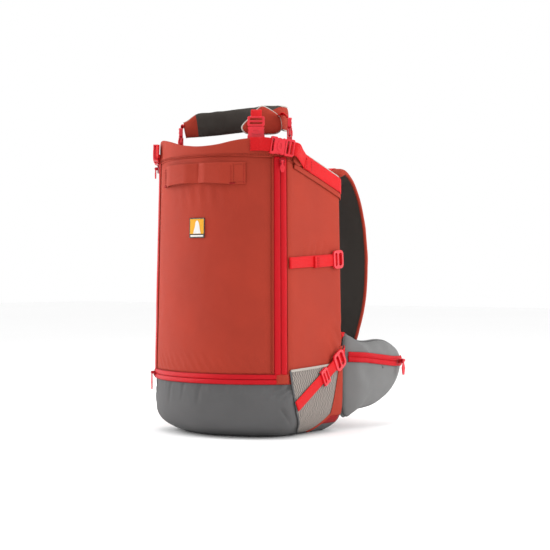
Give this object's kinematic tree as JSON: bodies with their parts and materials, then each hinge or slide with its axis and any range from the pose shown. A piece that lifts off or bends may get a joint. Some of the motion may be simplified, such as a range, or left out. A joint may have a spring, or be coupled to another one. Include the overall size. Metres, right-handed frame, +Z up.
{
  "type": "hiking daypack",
  "caption": "Open-topped hiking daypack with a zipped curved front, zipped bottom compartment, padded neck band, side compression straps and pocketed hip belt wings.",
  "frame": {"origin": "centre of the resting face, on the floor, below the front arc's middle plane", "axes": "+Z up, +X to the right seen from the front, -Y out of the front panel, +Y towards the wearer"},
  "size_m": [0.3826, 0.4311, 0.5902],
  "materials": {
    "rust_fabric": "woven",
    "grey_fabric": "woven",
    "pocket_fabric": "woven",
    "red_webbing": "woven",
    "zip_tape": "woven",
    "red_plastic": "satin moulded",
    "side_mesh": "knitted",
    "dark_mesh": "knitted",
    "grey_piping": "woven",
    "label": "woven",
    "foam": "matt",
    "frame_plastic": "matt",
    "stay_metal": "satin",
    "lining": "woven",
    "slider_metal": "satin"
  },
  "bodies": {
    "pack": {"back_foam": "foam", "back_lining": "lining", "back_panel": "dark_mesh", "bottom_boot": "grey_fabric", "bottom_zip_tape": "zip_tape", "collar_buckle_sockets": "red_plastic", "collar_tabs": "red_webbing", "compartment_floor": "lining", "frame_sheet": "frame_plastic", "frame_stays": "stay_metal", "front_label": "label", "front_loop": "rust_fabric", "front_panel": "rust_fabric", "mesh_pockets": "side_mesh", "rim_leader_left": "red_webbing", "rim_leader_right": "red_webbing", "rim_piping": "grey_piping", "rim_strap_left": "red_webbing", "rim_strap_right": "red_webbing", "shoulder_anchors": "rust_fabric", "side_panel_left": "rust_fabric", "side_panel_right": "rust_fabric", "side_strap_locks": "red_plastic", "side_straps": "red_webbing", "side_zip_tapes": "zip_tape", "top_collar": "rust_fabric"},
    "side_zip_slider_right": {"side_zip_slider_right": "slider_metal"},
    "side_zip_pull_right": {"side_zip_pull_right": "red_plastic"},
    "hip_wing_right": {"hip_wing_right": "pocket_fabric", "hip_pocket_right": "pocket_fabric", "hip_zip_tape_right": "zip_tape", "waist_webbing_right": "red_webbing", "waist_socket": "red_plastic"},
    "hip_zip_slider_right": {"hip_zip_slider_right": "slider_metal"},
    "hip_zip_pull_right": {"hip_zip_pull_right": "red_plastic"},
    "shoulder_strap_right": {"shoulder_strap_right": "dark_mesh", "shoulder_lock_right": "red_plastic", "shoulder_webbing_right": "red_webbing"},
    "rim_buckle_tongue_right": {"rim_buckle_tongue_right": "red_plastic"},
    "side_strap_glide_right": {"side_strap_glide_right": "red_plastic"},
    "side_zip_slider_left": {"side_zip_slider_left": "slider_metal"},
    "side_zip_pull_left": {"side_zip_pull_left": "red_plastic"},
    "hip_wing_left": {"hip_wing_left": "pocket_fabric", "hip_pocket_left": "pocket_fabric", "hip_zip_tape_left": "zip_tape", "waist_webbing_left": "red_webbing", "waist_tongue": "red_plastic"},
    "hip_zip_slider_left": {"hip_zip_slider_left": "slider_metal"},
    "hip_zip_pull_left": {"hip_zip_pull_left": "red_plastic"},
    "shoulder_strap_left": {"shoulder_strap_left": "dark_mesh", "shoulder_lock_left": "red_plastic", "shoulder_webbing_left": "red_webbing"},
    "rim_buckle_tongue_left": {"rim_buckle_tongue_left": "red_plastic"},
    "side_strap_glide_left": {"side_strap_glide_left": "red_plastic"},
    "bottom_zip_slider": {"bottom_zip_slider": "slider_metal"},
    "bottom_zip_pull": {"bottom_zip_pull": "red_plastic"},
    "neck_band": {"neck_band": "dark_mesh", "neck_band_flap": "rust_fabric", "band_legs": "red_webbing", "band_buckle_tongues": "red_plastic"}
  },
  "joints": [
    {"name": "side_zip_right", "type": "slide", "parent": "pack", "child": "side_zip_slider_right", "axis": [0.0145, -0.014, -0.9998], "range_m": [0, 0.345]},
    {"name": "side_zip_pull_right", "type": "hinge", "parent": "side_zip_slider_right", "child": "side_zip_pull_right", "pos_m": [0.1436, -0.06667, 0.47965], "axis": [-0.6947, -0.7193, 0], "range_deg": [0, 115]},
    {"name": "hip_wing_right", "type": "hinge", "parent": "pack", "child": "hip_wing_right", "pos_m": [0.131, 0.1325, 0.1], "axis": [0, 0, -1], "range_deg": [-8, 60]},
    {"name": "hip_zip_right", "type": "slide", "parent": "hip_wing_right", "child": "hip_zip_slider_right", "axis": [-0.1388, -0.9874, 0.0759], "range_m": [0, 0.09]},
    {"name": "hip_zip_pull_right", "type": "hinge", "parent": "hip_zip_slider_right", "child": "hip_zip_pull_right", "pos_m": [0.18863, 0.26376, 0.1225], "axis": [-0.1392, -0.9903, 0], "range_deg": [0, 110]},
    {"name": "shoulder_strap_right", "type": "hinge", "parent": "pack", "child": "shoulder_strap_right", "pos_m": [0.09, 0.139, 0.462], "axis": [0, -0.02, -0.9998], "range_deg": [-30, 6]},
    {"name": "rim_buckle_right", "type": "slide", "parent": "pack", "child": "rim_buckle_tongue_right", "axis": [0.6091, 0.7791, -0.1483], "range_m": [0, 0.022], "deforming": ["rim_leader_right"]},
    {"name": "side_strap_glide_right", "type": "slide", "parent": "pack", "child": "side_strap_glide_right", "axis": [0, 0.8669, 0.4985], "range_m": [-0.035, 0.01]},
    {"name": "side_zip_left", "type": "slide", "parent": "pack", "child": "side_zip_slider_left", "axis": [-0.0145, -0.014, -0.9998], "range_m": [0, 0.345]},
    {"name": "side_zip_pull_left", "type": "hinge", "parent": "side_zip_slider_left", "child": "side_zip_pull_left", "pos_m": [-0.1436, -0.06667, 0.47965], "axis": [-0.6947, 0.7193, 0], "range_deg": [0, 115]},
    {"name": "hip_wing_left", "type": "hinge", "parent": "pack", "child": "hip_wing_left", "pos_m": [-0.131, 0.1325, 0.1], "axis": [0, 0, 1], "range_deg": [-8, 60]},
    {"name": "hip_zip_left", "type": "slide", "parent": "hip_wing_left", "child": "hip_zip_slider_left", "axis": [0.1388, -0.9874, 0.0759], "range_m": [0, 0.09]},
    {"name": "hip_zip_pull_left", "type": "hinge", "parent": "hip_zip_slider_left", "child": "hip_zip_pull_left", "pos_m": [-0.18863, 0.26376, 0.1225], "axis": [-0.1392, 0.9903, 0], "range_deg": [0, 110]},
    {"name": "shoulder_strap_left", "type": "hinge", "parent": "pack", "child": "shoulder_strap_left", "pos_m": [-0.09, 0.139, 0.462], "axis": [0, 0.02, 0.9998], "range_deg": [-30, 6]},
    {"name": "rim_buckle_left", "type": "slide", "parent": "pack", "child": "rim_buckle_tongue_left", "axis": [-0.6091, 0.7791, -0.1483], "range_m": [0, 0.022], "deforming": ["rim_leader_left"]},
    {"name": "side_strap_glide_left", "type": "slide", "parent": "pack", "child": "side_strap_glide_left", "axis": [0, 0.8669, 0.4985], "range_m": [-0.035, 0.01]},
    {"name": "bottom_zip", "type": "hinge", "parent": "pack", "child": "bottom_zip_slider", "pos_m": [0, 0.072, 0.104], "axis": [0, 0, 1], "range_deg": [0, 84]},
    {"name": "bottom_zip_pull", "type": "hinge", "parent": "bottom_zip_slider", "child": "bottom_zip_pull", "pos_m": [-0.14395, -0.07706, 0.1055], "axis": [-0.7193, 0.6947, 0], "range_deg": [0, 115]},
    {"name": "neck_band", "type": "slide", "parent": "pack", "child": "neck_band", "axis": [0, 0, 1], "range_m": [0, 0.04]}
  ]
}
